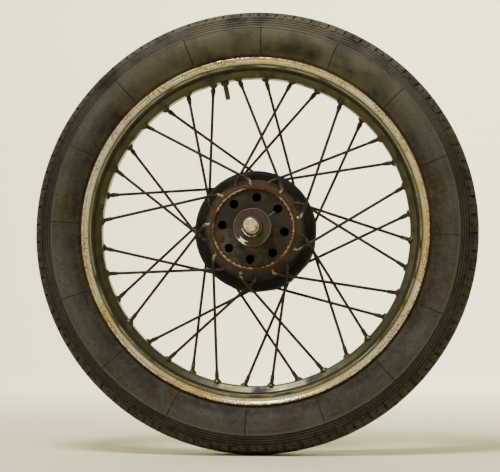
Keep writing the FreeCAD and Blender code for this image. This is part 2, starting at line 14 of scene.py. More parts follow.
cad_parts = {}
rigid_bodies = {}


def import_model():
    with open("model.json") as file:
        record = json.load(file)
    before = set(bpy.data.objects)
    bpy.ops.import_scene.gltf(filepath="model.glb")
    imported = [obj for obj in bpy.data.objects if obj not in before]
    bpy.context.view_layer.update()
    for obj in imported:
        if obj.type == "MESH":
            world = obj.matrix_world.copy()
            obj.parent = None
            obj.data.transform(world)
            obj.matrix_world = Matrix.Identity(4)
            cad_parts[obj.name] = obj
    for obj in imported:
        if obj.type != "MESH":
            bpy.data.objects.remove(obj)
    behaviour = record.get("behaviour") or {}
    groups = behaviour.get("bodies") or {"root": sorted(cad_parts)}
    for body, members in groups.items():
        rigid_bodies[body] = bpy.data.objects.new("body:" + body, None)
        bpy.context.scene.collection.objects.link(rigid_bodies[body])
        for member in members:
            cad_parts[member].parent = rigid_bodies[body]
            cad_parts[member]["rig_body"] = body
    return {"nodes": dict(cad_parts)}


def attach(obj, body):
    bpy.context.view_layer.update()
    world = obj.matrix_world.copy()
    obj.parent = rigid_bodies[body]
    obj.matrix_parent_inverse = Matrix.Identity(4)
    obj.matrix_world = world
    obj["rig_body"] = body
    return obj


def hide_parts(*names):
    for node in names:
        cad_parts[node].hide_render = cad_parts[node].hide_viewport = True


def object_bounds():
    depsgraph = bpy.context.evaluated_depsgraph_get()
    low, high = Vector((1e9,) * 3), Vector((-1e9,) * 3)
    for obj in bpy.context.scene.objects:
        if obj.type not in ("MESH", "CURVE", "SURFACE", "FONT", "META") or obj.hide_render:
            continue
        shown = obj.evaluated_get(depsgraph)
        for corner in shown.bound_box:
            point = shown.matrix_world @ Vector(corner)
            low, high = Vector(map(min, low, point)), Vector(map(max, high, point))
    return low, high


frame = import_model()
nodes = frame["nodes"]
cad_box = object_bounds()


# --- Tyre ----------------------------------------------------------------------------------
# The cover of moulded black rubber, gone brown-grey with age and dust.  It came out of a
# segmented mould, which leaves fine joint lines across its walls, and its beads sit inside the
# rim's flanges.  One pitch of the tread is shaped, then repeated round the spindle.

MM = 0.001
CENTRE = Vector((0, 0, 0))
SPINDLE_AXIS = Vector((0, 1, 0))


def draw_section(mesh, outline):
    """Closed outline of a turned or moulded piece, with its corners rounded."""
    corners = [mesh.verts.new((corner[0] * MM, corner[1] * MM, 0)) for corner in outline]
    for start, end in zip(corners, corners[1:] + corners[:1]):
        mesh.edges.new((start, end))
    for point, corner in zip(corners, outline):
        if len(corner) == 3:
            bmesh.ops.bevel(mesh, geom=[point], offset=corner[2] * MM, offset_type="OFFSET",
                            segments=3, profile=0.5, affect="VERTICES", material=-1)


def both_sides(half):
    """Outline of both sides from the +Y side's points, listed inwards to the middle."""
    return half + [(corner[0], -corner[1]) + tuple(corner[2:]) for corner in reversed(half)]


def finish_piece(mesh, name, node, sharp=35):
    """Make the object, let it ride where its CAD node does, and let it stand for that node."""
    bmesh.ops.recalc_face_normals(mesh, faces=mesh.faces[:])
    data = bpy.data.meshes.new(name)
    mesh.to_mesh(data)
    mesh.free()
    data.shade_smooth()
    data.set_sharp_from_angle(angle=math.radians(sharp))
    piece = bpy.data.objects.new(name, data)
    bpy.context.scene.collection.objects.link(piece)
    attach(piece, nodes[node]["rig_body"])
    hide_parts(node)
    return piece


tread_pitches = 76
pitch_steps = 8
pitch_angle = 2 * math.pi / tread_pitches
tyre_wall = both_sides([
    (241.5, 11.5, 1.5), (241.5, 22.6, 1.5), (256.4, 22.8), (258.8, 26.0), (259.6, 28.4),
    (261.8, 29.8), (266.0, 33.6), (272.0, 38.2), (278.0, 41.3), (284.0, 43.1), (290.0, 43.7),
    (295.6, 43.0), (296.2, 43.7), (297.8, 43.5), (298.4, 42.3), (300.2, 41.8),
    (300.5, 42.6), (301.9, 42.2), (302.2, 41.3), (303.9, 40.9), (304.2, 41.7), (305.6, 41.3),
    (305.9, 40.4), (307.6, 40.0), (307.9, 40.8), (309.3, 40.4), (309.6, 39.3), (311.2, 39.0),
    (311.8, 40.0), (315.4, 38.4), (318.2, 34.6), (320.9, 30.2), (321.4, 28.6),
    (318.4, 27.8), (318.8, 26.4), (322.4, 26.0), (324.4, 21.4), (325.9, 16.2),
    (323.2, 15.5), (323.5, 14.0), (326.4, 13.6), (327.2, 9.5), (327.4, 5.0),
    (324.6, 4.5), (324.7, 3.3), (327.5, 2.9),
]) + both_sides([(254.0, -18.0), (268.0, -31.0), (287.0, -36.5), (304.0, -29.0), (313.5, -11.0)])
cover = bmesh.new()
draw_section(cover, tyre_wall)
bmesh.ops.spin(cover, geom=cover.verts[:] + cover.edges[:], cent=CENTRE, axis=SPINDLE_AXIS,
               angle=pitch_angle, steps=pitch_steps)


def tread_faces(first_step, steps, narrow, wide):
    """Faces of the tread between two steps round the pitch and two distances from its middle."""
    chosen = []
    for face in cover.faces:
        middle = face.calc_center_median()
        step = math.atan2(-middle.z, middle.x) / pitch_angle * pitch_steps
        on_shoulder = abs(middle.y) > 27 * MM
        on_tread = math.hypot(middle.x, middle.z) > (311 if on_shoulder else 318) * MM
        in_steps = first_step < step < first_step + steps
        if on_tread and in_steps and narrow * MM < abs(middle.y) < wide * MM:
            chosen.append(face)
    return chosen


bmesh.ops.recalc_face_normals(cover, faces=cover.faces[:])
for first_step, steps, narrow, wide, depth in (
        (2, 1, 28.7, 41.0, 3.2), (6, 1, 33.0, 41.0, 1.6), (6, 1, 16.1, 26.2, 2.6),
        (2, 1, 20.0, 26.2, 1.2), (2, 1, 5.1, 13.7, 2.4), (6, 1, 0.0, 3.0, 1.6)):
    bmesh.ops.inset_region(cover, faces=tread_faces(first_step, steps, narrow, wide),
                           thickness=0.35 * MM, depth=-depth * MM, use_even_offset=True)
bmesh.ops.spin(cover, geom=cover.verts[:] + cover.edges[:] + cover.faces[:], cent=CENTRE,
               axis=SPINDLE_AXIS, angle=2 * math.pi - pitch_angle, steps=tread_pitches - 1,
               use_duplicate=True)
bmesh.ops.remove_doubles(cover, verts=cover.verts[:], dist=0.01 * MM)
tyre = finish_piece(cover, "tyre_cover", "tyre")


def shade_group(name, inputs, outputs):
    """Empty shader node group of plain numbers; inputs are (name, default), outputs are names."""
    group = bpy.data.node_groups.new(name, "ShaderNodeTree")
    for label, value in inputs:
        socket = group.interface.new_socket(label, in_out="INPUT", socket_type="NodeSocketFloat")
        socket.default_value = value
    for label in outputs:
        group.interface.new_socket(label, in_out="OUTPUT", socket_type="NodeSocketFloat")
    return group, group.nodes.new("NodeGroupInput"), group.nodes.new("NodeGroupOutput")


def maths(tree, operation, first, second=0.0, clamp=False):
    """One Math node; either side may be a number or a socket."""
    node = tree.nodes.new("ShaderNodeMath")
    node.operation = operation
    node.use_clamp = clamp
    for socket, value in zip(node.inputs, (first, second)):
        if isinstance(value, bpy.types.NodeSocket):
            tree.links.new(value, socket)
        else:
            socket.default_value = value
    return node.outputs[0]


def ramp(tree, value, low, high, to_low=0.0, to_high=1.0):
    """Smooth step of a value from low to high."""
    node = tree.nodes.new("ShaderNodeMapRange")
    node.interpolation_type = "SMOOTHSTEP"
    tree.links.new(value, node.inputs["Value"])
    bounds = {"From Min": low, "From Max": high, "To Min": to_low, "To Max": to_high}
    for label, bound in bounds.items():
        if isinstance(bound, bpy.types.NodeSocket):
            tree.links.new(bound, node.inputs[label])
        else:
            node.inputs[label].default_value = bound
    return node.outputs["Result"]


def build_place_group():
    """Where a point lies on the wheel: its distance from the spindle, its angle and its y."""
    group, _, output = shade_group("wheel_place", [], ["Radius", "Angle", "Along"])
    place = group.nodes.new("ShaderNodeTexCoord")
    split = group.nodes.new("ShaderNodeSeparateXYZ")
    group.links.new(place.outputs["Object"], split.inputs[0])
    across = maths(group, "MULTIPLY", split.outputs["X"], split.outputs["X"])
    upward = maths(group, "MULTIPLY", split.outputs["Z"], split.outputs["Z"])
    radius = maths(group, "SQRT", maths(group, "ADD", across, upward))
    turn = maths(group, "ARCTAN2", split.outputs["Z"], split.outputs["X"])
    group.links.new(maths(group, "MULTIPLY", radius, 1000.0), output.inputs["Radius"])
    group.links.new(maths(group, "MULTIPLY", turn, 180 / math.pi), output.inputs["Angle"])
    group.links.new(maths(group, "MULTIPLY", split.outputs["Y"], 1000.0), output.inputs["Along"])
    return group


def build_stain_group():
    """Blotches of a size in millimetres, from 0 to 1 between two levels of the noise."""
    sliders = [("Size", 20.0), ("Low", 0.45), ("High", 0.65), ("Detail", 4.0), ("Seed", 0.0)]
    group, given, output = shade_group("stains", sliders, ["Mask", "Raw"])
    place = group.nodes.new("ShaderNodeTexCoord")
    noise = group.nodes.new("ShaderNodeTexNoise")
    noise.noise_dimensions = "4D"
    group.links.new(place.outputs["Object"], noise.inputs["Vector"])
    group.links.new(maths(group, "DIVIDE", 1000.0, given.outputs["Size"]), noise.inputs["Scale"])
    group.links.new(given.outputs["Detail"], noise.inputs["Detail"])
    group.links.new(given.outputs["Seed"], noise.inputs["W"])
    group.links.new(noise.outputs["Fac"], output.inputs["Raw"])
    mask = ramp(group, noise.outputs["Fac"], given.outputs["Low"], given.outputs["High"])
    group.links.new(mask, output.inputs["Mask"])
    return group


def build_band_group():
    """A ring-shaped band of the wheel between two radii, with soft edges."""
    sliders = [("Value", 0.0), ("From", 0.0), ("To", 1.0), ("Soft", 1.0)]
    group, given, output = shade_group("band", sliders, ["Mask"])
    value = given.outputs["Value"]
    low, high, soft = given.outputs["From"], given.outputs["To"], given.outputs["Soft"]
    rise = ramp(group, value, maths(group, "SUBTRACT", low, soft), maths(group, "ADD", low, soft))
    fall = ramp(group, value, maths(group, "SUBTRACT", high, soft), maths(group, "ADD", high, soft))
    group.links.new(maths(group, "SUBTRACT", rise, fall, clamp=True), output.inputs["Mask"])
    return group


place_group = build_place_group()
stain_group = build_stain_group()
band_group = build_band_group()


class Finish:
    """A Principled material that is built up in layers of colour and roughness."""

    def __init__(self, name, colour, roughness, metallic=0.0, specular=0.5):
        self.material = bpy.data.materials.new(name)
        self.material.use_nodes = True
        self.tree = self.material.node_tree
        self.shader = self.tree.nodes["Principled BSDF"]
        self.shader.inputs["Base Color"].default_value = (*colour, 1)
        self.shader.inputs["Roughness"].default_value = roughness
        self.shader.inputs["Metallic"].default_value = metallic
        self.shader.inputs["Specular IOR Level"].default_value = specular
        self.height = None
        self.place = None

    def use(self, group, **values):
        """Place one of the shared groups with its own values."""
        node = self.tree.nodes.new("ShaderNodeGroup")
        node.node_tree = group
        for label, value in values.items():
            socket = node.inputs[label]
            if isinstance(value, bpy.types.NodeSocket):
                self.tree.links.new(value, socket)
            else:
                socket.default_value = value
        return node

    def where(self, label):
        """Radius, Angle or Along of the point being shaded."""
        if self.place is None:
            self.place = self.use(place_group)
        return self.place.outputs[label]

    def stains(self, size, low, high, detail=4.0, seed=0.0):
        """Mask of blotches."""
        blotches = self.use(stain_group, Size=size, Low=low, High=high, Detail=detail, Seed=seed)
        return blotches.outputs["Mask"]

    def grain(self, size, detail=4.0, seed=0.0):
        """The noise itself, for bumps."""
        return self.use(stain_group, Size=size, Detail=detail, Seed=seed).outputs["Raw"]

    def band(self, label, start, end, soft=1.0):
        """Mask of a band by radius, angle or y."""
        ring = self.use(band_group, Value=self.where(label), From=start, To=end, Soft=soft)
        return ring.outputs["Mask"]

    def both(self, *masks):
        """Where all the masks meet."""
        result = masks[0]
        for mask in masks[1:]:
            result = maths(self.tree, "MULTIPLY", result, mask)
        return result

    def layer(self, mask, colour=None, roughness=None, metallic=None, strength=1.0):
        """Lay a coat over what is there, as far as the mask and strength say."""
        if strength != 1.0:
            mask = maths(self.tree, "MULTIPLY", mask, strength)
        if colour is not None:
            self.blend("Base Color", mask, (*colour, 1), "RGBA")
        if roughness is not None:
            self.blend("Roughness", mask, roughness, "FLOAT")
        if metallic is not None:
            self.blend("Metallic", mask, metallic, "FLOAT")

    def blend(self, label, mask, value, kind):
        """Mix one value into what reaches a shader socket so far."""
        socket = self.shader.inputs[label]
        node = self.tree.nodes.new("ShaderNodeMix")
        node.data_type = kind
        factor, first, second, result = {
            "RGBA": (node.inputs[0], node.inputs[6], node.inputs[7], node.outputs[2]),
            "FLOAT": (node.inputs[0], node.inputs[2], node.inputs[3], node.outputs[0]),
        }[kind]
        if socket.is_linked:
            self.tree.links.new(socket.links[0].from_socket, first)
        else:
            first.default_value = socket.default_value
        self.tree.links.new(mask, factor)
        second.default_value = value
        self.tree.links.new(result, socket)

    def relief(self, height, depth):
        """Add bumps of a depth in millimetres to the surface."""
        bump = self.tree.nodes.new("ShaderNodeBump")
        bump.inputs["Distance"].default_value = depth * MM
        self.tree.links.new(height, bump.inputs["Height"])
        if self.height is not None:
            self.tree.links.new(self.height, bump.inputs["Normal"])
        self.height = bump.outputs["Normal"]
        self.tree.links.new(self.height, self.shader.inputs["Normal"])

    def give(self, *pieces):
        """Put the finish on some pieces."""
        for piece in pieces:
            piece.data.materials.clear()
            piece.data.materials.append(self.material)


rubber = Finish("old_tyre_rubber", (0.032, 0.029, 0.025), 0.60, specular=0.14)
rubber.layer(rubber.stains(95, 0.42, 0.60, 5), (0.049, 0.046, 0.041), 0.54)
rubber.layer(rubber.stains(60, 0.46, 0.66, 6, 3), (0.033, 0.021, 0.011), 0.66)
rubber.layer(rubber.stains(14, 0.52, 0.76, 6, 7), (0.059, 0.055, 0.042), strength=0.5)
rubber.layer(rubber.stains(5, 0.56, 0.72, 6, 12), (0.016, 0.014, 0.012), 0.7, strength=0.6)
rubber.layer(rubber.both(rubber.band("Radius", 283, 297, 4), rubber.stains(45, 0.35, 0.6, 4, 9)),
             (0.058, 0.058, 0.054), 0.5, strength=0.7)
rubber.layer(rubber.both(rubber.band("Radius", 250, 271, 5), rubber.stains(30, 0.30, 0.55, 5, 10)),
             (0.017, 0.014, 0.010), 0.72, strength=0.8)
rubber.layer(rubber.both(rubber.band("Radius", 258, 280, 5), rubber.stains(24, 0.54, 0.68, 5, 13)),
             (0.044, 0.043, 0.025), 0.7, strength=0.6)
rubber.layer(rubber.band("Radius", 311, 340, 1.5), (0.033, 0.030, 0.023), 0.78)
rubber.layer(rubber.both(rubber.band("Radius", 308, 340, 1.0), rubber.stains(9, 0.45, 0.62, 6, 5)),
             (0.015, 0.014, 0.013), 0.85, strength=0.85)
rubber.layer(rubber.stains(7, 0.40, 0.66, 6, 15), (0.056, 0.048, 0.038), strength=0.45)
rubber.layer(rubber.stains(3, 0.46, 0.66, 6, 16), (0.015, 0.012, 0.009), strength=0.40)
# Painted highlight along the rib at the widest part of the wall.
rubber.layer(rubber.band("Radius", 294.5, 299, 0.6), (0.065, 0.062, 0.055), 0.5, strength=0.6)
# Painted shade: dark lines in the fine grooves between the ribs outside the highlight.
for shaded_groove in (299.4, 303.0, 306.7, 310.4):
    rubber.layer(rubber.band("Radius", shaded_groove - 0.7, shaded_groove + 0.7, 0.35), (0.008, 0.007, 0.007), 0.9,
                 strength=0.85)
rubber.layer(rubber.both(rubber.band("Radius", 230, 258.2, 0.8), rubber.stains(25, 0.25, 0.5, 5, 2)),
             (0.100, 0.044, 0.014), 0.85, strength=0.85)
# Painted light: the top of the tyre is painted lighter in blotches, standing in for the overhead light
# falling on it.
rubber.layer(rubber.both(rubber.band("Angle", 40, 135, 30), rubber.stains(40, 0.30, 0.60, 5, 14)),
             (0.105, 0.094, 0.074), 0.6, strength=0.7)
mould_joints = 16
mould_phase = -2.3
turned_on = maths(rubber.tree, "ADD", rubber.where("Angle"), 720 - mould_phase + 180 / mould_joints)
within = maths(rubber.tree, "MODULO", turned_on, 360 / mould_joints)
off_joint = maths(rubber.tree, "ABSOLUTE", maths(rubber.tree, "SUBTRACT", within, 180 / mould_joints))
joint_line = ramp(rubber.tree, off_joint, 0.07, 0.22, 1.0, 0.0)
on_wall = rubber.band("Radius", 260, 298, 0.6)
joint_mask = rubber.both(joint_line, on_wall)
rubber.layer(joint_mask, (0.008, 0.006, 0.004), strength=0.85)
rubber.relief(joint_mask, 0.5)
rubber.relief(rubber.grain(2.2, 6, 1), 0.25)
rubber.relief(rubber.grain(18, 4, 4), 0.5)
rubber.give(tyre)


# --- Inner tube and rim tape ---------------------------------------------------------------
# The tube is thin black rubber, powdered with talc, and fills the cover.  The tape is a strip
# of rubber stretched over the nipple heads so that they can't chafe the tube.

tube_rubber = Finish("tube_rubber", (0.022, 0.022, 0.023), 0.55)
tube_rubber.layer(tube_rubber.stains(30, 0.45, 0.7, 5), (0.16, 0.155, 0.15), 0.85, strength=0.5)
tube_rubber.relief(tube_rubber.grain(4, 4), 0.2)
tube_rubber.give(nodes["inner_tube"])
tape_rubber = Finish("tape_rubber", (0.035, 0.028, 0.022), 0.7)
tape_rubber.layer(tape_rubber.stains(12, 0.5, 0.7, 5), (0.09, 0.045, 0.02), 0.85)
tape_rubber.relief(tape_rubber.grain(1.5, 3), 0.15)
tape_rubber.give(nodes["rim_tape"])


# --- Rim -----------------------------------------------------------------------------------
# A steel strip rolled to a drop-centre section, welded and chromed.  The flanges are still
# bright between rust specks, and the well is painted dark olive as a painted reflection, with a
# painted highlight line and dark lines beside it.  It is punched up round each nipple.

def turn_round(outline, steps):
    """Ring turned about the spindle from its section."""
    mesh = bmesh.new()
    draw_section(mesh, outline)
    bmesh.ops.spin(mesh, geom=mesh.verts[:] + mesh.edges[:], cent=CENTRE, axis=SPINDLE_AXIS,
                   angle=2 * math.pi, steps=steps, use_merge=True)
    bmesh.ops.remove_doubles(mesh, verts=mesh.verts[:], dist=0.001 * MM)
    bmesh.ops.recalc_face_normals(mesh, faces=mesh.faces[:])
    return mesh


turn_steps = 216
hoop = turn_round(both_sides([
    (228.5, 9.0, 2.4), (239.1, 14.0, 2.2), (239.7, 24.5, 1.8), (251.5, 25.3, 1.4), (252.3, 28.5, 0.9),
    (255.5, 28.5, 1.3), (255.5, 23.0, 1.2), (241.3, 23.0, 1.5), (240.7, 13.0, 2.0), (230.1, 8.0, 1.6),
]), turn_steps)

spokes_in_set = 9
set_step = 360 / spokes_in_set
seat_radius = 229.3
nipple_offset = 5.0
laced_sets = (                       # nipple angle, hub radius, hub angle, hub y, side
    (56.0, 72.4, 13.7, -29.0, -1),
    (-4.0, 73.6, 32.0, -20.0, -1),
    (-14.0, 85.5, 26.5, 26.0, 1),
    (46.0, 85.5, 6.5, 38.0, 1),
)


def wheel_point(radius, angle, y):
    """Point at a radius and an angle in degrees from +X towards +Z, in millimetres."""
    turn = math.radians(angle)
    return Vector((radius * math.cos(turn), y, radius * math.sin(turn))) * MM


def nipple_places(side):
    """Seat of each nipple on one side of the rim, and the way its spoke leaves."""
    places = []
    for nipple_angle, hub_radius, hub_angle, hub_y, set_side in laced_sets:
        if set_side != side:
            continue
        for index in range(spokes_in_set):
            turn = index * set_step
            seat = wheel_point(seat_radius, nipple_angle + turn, side * nipple_offset)
            hub = wheel_point(hub_radius, hub_angle + turn, hub_y)
            places.append((seat, (hub - seat).normalized()))
    return places


def add_part(mesh, part, seat, along):
    """Stand a small part on a seat, turn it to point along the spoke, and join it to the mesh."""
    turn = Vector((0, 0, 1)).rotation_difference(along).to_matrix().to_4x4()
    part.transform(Matrix.Translation(seat) @ turn)
    data = bpy.data.meshes.new("part")
    part.to_mesh(data)
    part.free()
    mesh.from_mesh(data)
    bpy.data.meshes.remove(data)


def add_turned(mesh, outline, steps, seat, along):
    """Add a small solid of revolution whose axis starts at a seat; points are (radius, distance)."""
    part = bmesh.new()
    points = [part.verts.new((radius * MM, 0, distance * MM)) for radius, distance in outline]
    for start, end in zip(points, points[1:]):
        part.edges.new((start, end))
    bmesh.ops.spin(part, geom=part.verts[:] + part.edges[:], cent=CENTRE, axis=(0, 0, 1),
                   angle=2 * math.pi, steps=steps, use_merge=True)
    bmesh.ops.remove_doubles(part, verts=part.verts[:], dist=0.001 * MM)
    bmesh.ops.holes_fill(part, edges=part.edges[:])
    bmesh.ops.recalc_face_normals(part, faces=part.faces[:])
    add_part(mesh, part, seat, along)


punched_flare = [(0.0, -0.4), (7.0, -0.4), (6.6, 0.9), (5.6, 1.7), (4.9, 2.7), (4.5, 3.4), (3.9, 3.8),
                 (3.3, 3.8), (3.3, 0.4), (0.0, 0.4)]
flare_steps = 20
for side in (-1, 1):
    for seat, along in nipple_places(side):
        add_turned(hoop, punched_flare, flare_steps, seat, along)
rim = finish_piece(hoop, "rim_hoop", "rim", sharp=50)

chrome = Finish("worn_chrome", (0.93, 0.90, 0.80), 0.14, 1.0)
chrome.layer(chrome.stains(46, 0.42, 0.60, 4, 2), (0.80, 0.66, 0.34), 0.20)
# Painted reflection: the well and seat are painted dark olive for the dark surroundings the chrome would
# mirror there, with darker and paler blotches.
well = chrome.band("Radius", 215, 245.6, 1.2)
chrome.layer(well, (0.060, 0.054, 0.031), 0.34, 0.85)
chrome.layer(chrome.both(well, chrome.stains(22, 0.48, 0.66, 6, 4)), (0.018, 0.014, 0.008), 0.6, 0.4)
chrome.layer(chrome.both(well, chrome.stains(16, 0.58, 0.72, 5, 9)), (0.15, 0.14, 0.08), 0.25, strength=0.5)
# Painted highlight: a pale reflective line inside the flange.
painted_highlight_line = chrome.band("Radius", 241.6, 243.6, 0.6)
chrome.layer(chrome.both(painted_highlight_line, chrome.stains(30, 0.35, 0.6, 3, 12)), (0.42, 0.43, 0.36), 0.2, 1.0,
             strength=0.7)
# Painted shade: dark lines in the chrome's reflection on either side of the pale line.
for start, end in ((237.6, 240.2), (245.2, 246.8)):
    chrome.layer(chrome.band("Radius", start, end, 0.5), (0.016, 0.013, 0.008), 0.7, 0.4,
                 strength=0.75)
flange = chrome.band("Radius", 246.5, 260, 1.0)
specks = chrome.both(chrome.stains(2.4, 0.51, 0.57, 4, 6), chrome.stains(50, 0.36, 0.54, 3, 8))
chrome.layer(chrome.both(specks, flange), (0.085, 0.045, 0.016), 0.75, 0.15, strength=0.85)
chrome.layer(chrome.both(chrome.stains(1.4, 0.57, 0.64, 2, 11), flange), (0.07, 0.035, 0.015), 0.8, 0.1,
             strength=0.75)
outer_edge = chrome.both(chrome.band("Radius", 252.6, 258, 1.2), chrome.stains(3.4, 0.42, 0.56, 5, 3))
chrome.layer(outer_edge, (0.11, 0.045, 0.013), 0.8, 0.1, strength=0.8)
chrome.relief(chrome.grain(3, 5, 6), 0.12)
chrome.relief(chrome.grain(45, 2, 1), 0.4)
chrome.give(rim)


# --- Nipples -------------------------------------------------------------------------------
# Thirty-six steel sleeves, square where the key turns them and tapered towards the hub.  Each
# is screwed on a spoke's end and pulls it against the rim.

sleeve_outline = [(2.06, 16.2), (2.4, 16.4), (2.9, 15.0), (3.1, 11.2), (3.1, 2.0), (4.1, -0.6),
                  (4.1, -2.8), (0.0, -3.0)]
sleeve_steps = 14
square_side = 5.9
square_length = 5.4
square_from_seat = 8.2
square_corner = 0.5


def add_nipple(mesh, seat, along):
    """One nipple: a turned sleeve, and the square that the key grips."""
    add_turned(mesh, sleeve_outline, sleeve_steps, seat, along)
    square = bmesh.new()
    bmesh.ops.create_cube(square, size=1.0)
    bmesh.ops.scale(square, vec=(square_side * MM, square_side * MM, square_length * MM),
                    verts=square.verts[:])
    bmesh.ops.translate(square, vec=(0, 0, square_from_seat * MM), verts=square.verts[:])
    bmesh.ops.bevel(square, geom=square.edges[:], offset=square_corner * MM, offset_type="OFFSET",
                    segments=1, profile=0.5, affect="EDGES", material=-1)
    add_part(mesh, square, seat, along)


nipple_steel = Finish("tarnished_nipples", (0.026, 0.020, 0.015), 0.48, 0.4, specular=0.3)
nipple_steel.layer(nipple_steel.stains(4, 0.45, 0.62, 4), (0.028, 0.016, 0.009), 0.8, 0.2)
nipple_steel.layer(nipple_steel.stains(7, 0.60, 0.72, 4, 5), (0.30, 0.25, 0.18), 0.35, strength=0.6)
nipple_steel.relief(nipple_steel.grain(1.2, 4), 0.12)
for side, node in ((-1, "nipples_near"), (1, "nipples_far")):
    sleeves = bmesh.new()
    for seat, along in nipple_places(side):
        add_nipple(sleeves, seat, along)
    nipple_steel.give(finish_piece(sleeves, node + "_keyed", node))


# --- Spokes --------------------------------------------------------------------------------
# Drawn steel wire, headed and bent at the hub and threaded at the rim.  The runs are brown
# with rust, and the bends at the near flange are rubbed bright, with a painted highlight on the
# outer row's bends and painted shade darkening the inner and far rows' bends.

def spoke_finish(name, bright_colour, bright_from, bright_to, strength):
    """Rusty wire whose bend at the hub, between two radii, is worn paler; its colour and strength also paint
    how much light that row's bends catch.
    """
    wire = Finish(name, (0.014, 0.011, 0.009), 0.46, 0.2, specular=0.25)
    wire.layer(wire.stains(11, 0.42, 0.62, 5), (0.020, 0.012, 0.007), 0.8, 0.1)
    wire.layer(wire.stains(5, 0.56, 0.70, 4, 3), (0.12, 0.095, 0.068), 0.4, 0.6, strength=0.45)
    # The bend's pale colour is wear together with painted light.
    bend_wear_and_light = wire.both(wire.band("Radius", bright_from, bright_to, 3.0), wire.stains(3, 0.42, 0.56, 4, 6))
    wire.layer(bend_wear_and_light, bright_colour, 0.38, 0.55, strength=strength)
    wire.relief(wire.grain(1.5, 4), 0.1)
    return wire


# One wire for all rows: the outer row's bends carry a painted highlight, and the inner and far rows' bends
# are painted darker as painted shade.
spoke_finish("near_outer_spokes", (0.44, 0.37, 0.27), 60, 74, 0.7).give(nodes["spokes_near_outer"])
spoke_finish("near_inner_spokes", (0.15, 0.12, 0.09), 60, 84, 0.4).give(nodes["spokes_near_inner"])
spoke_finish("far_spokes", (0.12, 0.10, 0.075), 60, 92, 0.3).give(
    nodes["spokes_far_front"], nodes["spokes_far_rear"])


# --- Near spoke flange and hub barrel ------------------------------------------------------
# A dished pressing, riveted to the brake drum and welded to the barrel.  Its rim is toothed
# inside, for a drive ring, and is worn through to rusty steel, with pale specks on its inner edge
# that are partly painted highlights; the rest keeps dark old paint, painted lighter at the lower
# left of the web and on the top of the cone as painted light.

hub_paint = Finish("dark_hub_paint", (0.016, 0.013, 0.010), 0.5, specular=0.18)
hub_paint.layer(hub_paint.stains(16, 0.44, 0.64, 5), (0.024, 0.020, 0.015), 0.56)
# Painted light: the web is painted lighter at the lower left, where light falls on it.
lit_lower_left = hub_paint.both(hub_paint.band("Angle", -185, -60, 25), hub_paint.band("Radius", 26, 56, 2))
hub_paint.layer(hub_paint.both(lit_lower_left, hub_paint.stains(12, 0.35, 0.6, 5, 6)),
                (0.046, 0.039, 0.031), 0.55)
hub_paint.layer(hub_paint.stains(9, 0.55, 0.70, 6, 2), (0.045, 0.023, 0.011), 0.8)
# Painted light: the cone's top is painted a lighter olive in blotches.
lit_cone_top = hub_paint.both(hub_paint.band("Angle", 20, 160, 25), hub_paint.band("Radius", 63, 78, 1.5))
hub_paint.layer(hub_paint.both(lit_cone_top, hub_paint.stains(14, 0.35, 0.6, 5, 7)),
                (0.040, 0.035, 0.019), 0.8)
lip = hub_paint.band("Radius", 54.5, 64.5, 0.8)
lip_front = hub_paint.both(lip, hub_paint.band("Along", -60, -30.0, 1.5))
hub_paint.layer(lip_front, (0.048, 0.027, 0.015), 0.72, 0.2)
hub_paint.layer(hub_paint.both(lip_front, hub_paint.stains(5, 0.45, 0.6, 5, 4)),
                (0.050, 0.024, 0.012), 0.8)
# Pale specks on the lip's inner edge: worn steel, and partly painted highlights.
worn_edge_and_highlight = hub_paint.both(hub_paint.band("Radius", 56.8, 59.6, 0.5),
                           hub_paint.band("Along", -60, -38.6, 0.5))
worn_parts = hub_paint.both(hub_paint.stains(34, 0.40, 0.54, 2, 8),
                            hub_paint.stains(1.8, 0.42, 0.54, 5, 8))
hub_paint.layer(hub_paint.both(worn_edge_and_highlight, worn_parts), (0.50, 0.40, 0.29), 0.45, 0.35, strength=0.6)
scratch = hub_paint.both(hub_paint.band("Angle", 38.0, 39.2, 0.4), hub_paint.band("Radius", 28, 40, 1.0))
hub_paint.layer(scratch, (0.30, 0.27, 0.22), 0.4, strength=0.8)
hub_paint.relief(hub_paint.grain(2.4, 5), 0.22)
hub_paint.relief(hub_paint.grain(9, 3, 4), 0.35)
hub_paint.give(nodes["near_flange"], nodes["hub_barrel"], nodes["flange_rivets"])

cap_paint = Finish("bearing_cap_paint", (0.046, 0.032, 0.025), 0.5, 0.1, specular=0.3)
cap_paint.layer(cap_paint.stains(8, 0.45, 0.62, 5, 3), (0.030, 0.024, 0.021), 0.6)
cap_paint.layer(cap_paint.stains(5, 0.56, 0.68, 5, 6), (0.080, 0.040, 0.018), 0.75)
# Painted highlight: a pale thin line round the cap's outer edge.
cap_edge_highlight = cap_paint.both(cap_paint.band("Radius", 25.6, 28, 0.4), cap_paint.band("Along", -60, -56.2, 0.3))
cap_paint.layer(cap_edge_highlight, (0.13, 0.092, 0.065), 0.45, 0.5, strength=0.7)
# Grease on the cap's lower left, painted white as glints of light on it.
grease_and_glints = cap_paint.both(
    cap_paint.band("Radius", 21.5, 27.6, 0.5), cap_paint.band("Angle", -146, -108, 3.0),
    cap_paint.band("Along", -60, -55.5, 0.4), cap_paint.stains(5, 0.45, 0.50, 2, 5))
cap_paint.layer(grease_and_glints, (0.80, 0.80, 0.80), 0.3, 0.0, strength=0.95)
cap_paint.relief(cap_paint.grain(2, 5), 0.2)
cap_paint.give(nodes["near_bearing_cap"])


# --- Brake drum ----------------------------------------------------------------------------
# A cast-iron cup with the far spoke flange cast on.  The outside keeps thick black paint, painted
# lighter and browner in blotches on its top as painted light, and the bore is swept bright by the linings.

drum_iron = Finish("black_drum_iron", (0.006, 0.006, 0.007), 0.5, specular=0.12)
drum_iron.layer(drum_iron.stains(22, 0.45, 0.65, 5), (0.009, 0.009, 0.009), 0.55)
drum_iron.layer(drum_iron.stains(12, 0.57, 0.72, 6, 4), (0.019, 0.013, 0.009), 0.8, strength=0.7)
